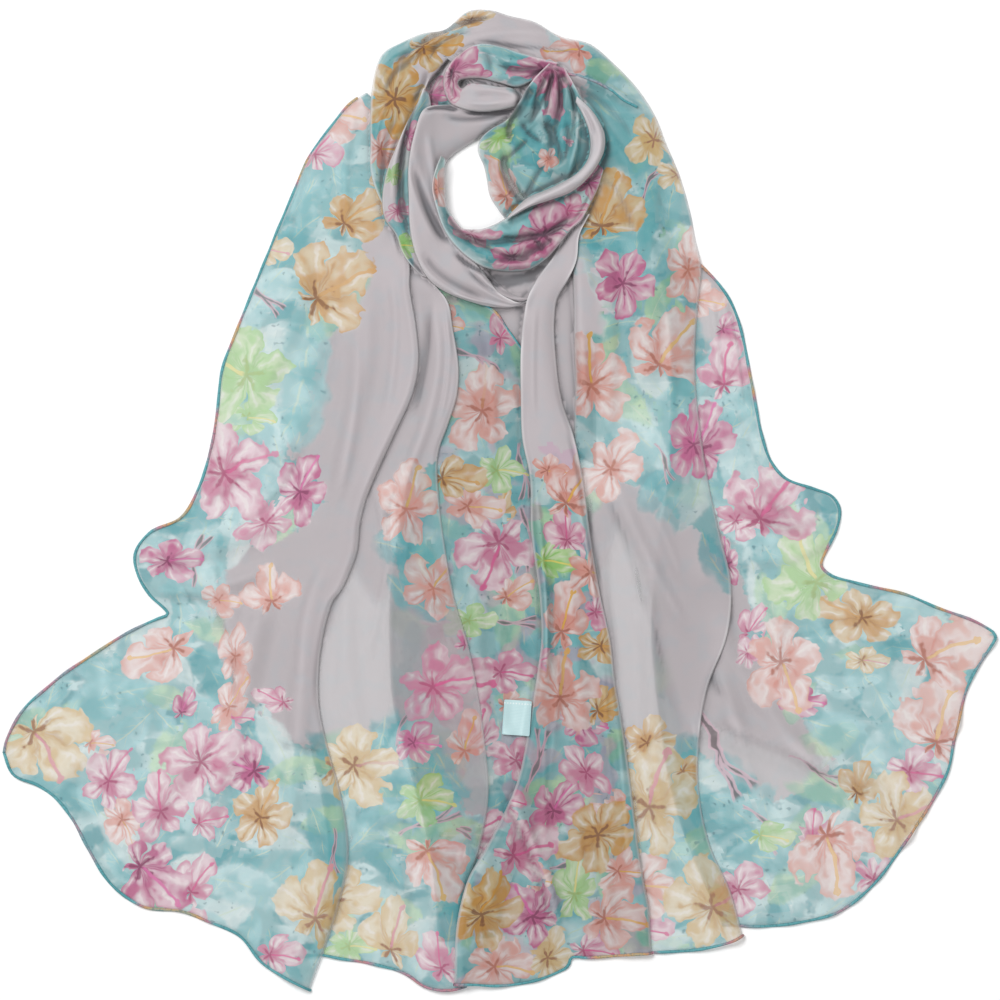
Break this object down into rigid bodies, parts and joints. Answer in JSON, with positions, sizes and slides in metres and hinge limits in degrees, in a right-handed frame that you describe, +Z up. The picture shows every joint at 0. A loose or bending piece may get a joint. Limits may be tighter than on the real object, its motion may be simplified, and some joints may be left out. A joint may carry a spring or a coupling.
{
  "type": "chiffon scarf",
  "caption": "Sheer rectangular scarf laid flat, wound once into a round neck loop, with both flowered ends fanned out below it in soft folds.",
  "frame": {"origin": "centre of the footprint, on the surface the scarf lies on", "axes": "+X to the scarf's right as seen from above, +Y from the hems up to the neck loop, +Z up from the surface"},
  "size_m": [0.674, 0.6667, 0.0348],
  "materials": {
    "under_layer": "plain chiffon",
    "right_outer_end": "flowered chiffon",
    "left_inner_end": "flowered chiffon",
    "left_pleat_end": "plain and flowered chiffon",
    "left_outer_end": "flowered chiffon",
    "care_label": "smooth woven tape, bare",
    "back_turn": "plain chiffon",
    "outer_wrap": "flowered chiffon",
    "left_wrap": "plain and flowered chiffon",
    "pocket_fold": "plain chiffon",
    "grey_band": "plain chiffon",
    "right_inner_end": "plain and flowered chiffon",
    "cap_roll": "flowered chiffon",
    "right_strand": "flowered chiffon",
    "front_band": "flowered chiffon",
    "crescent": "plain chiffon"
  },
  "bodies": {
    "root": {"under_layer": "under_layer", "right_outer_end": "right_outer_end", "left_inner_end": "left_inner_end", "left_pleat_end": "left_pleat_end", "left_outer_end": "left_outer_end", "care_label": "care_label", "back_turn": "back_turn", "outer_wrap": "outer_wrap", "left_wrap": "left_wrap", "pocket_fold": "pocket_fold", "grey_band": "grey_band", "right_inner_end": "right_inner_end", "cap_roll": "cap_roll", "right_strand": "right_strand", "front_band": "front_band", "crescent": "crescent"}
  },
  "joints": []
}
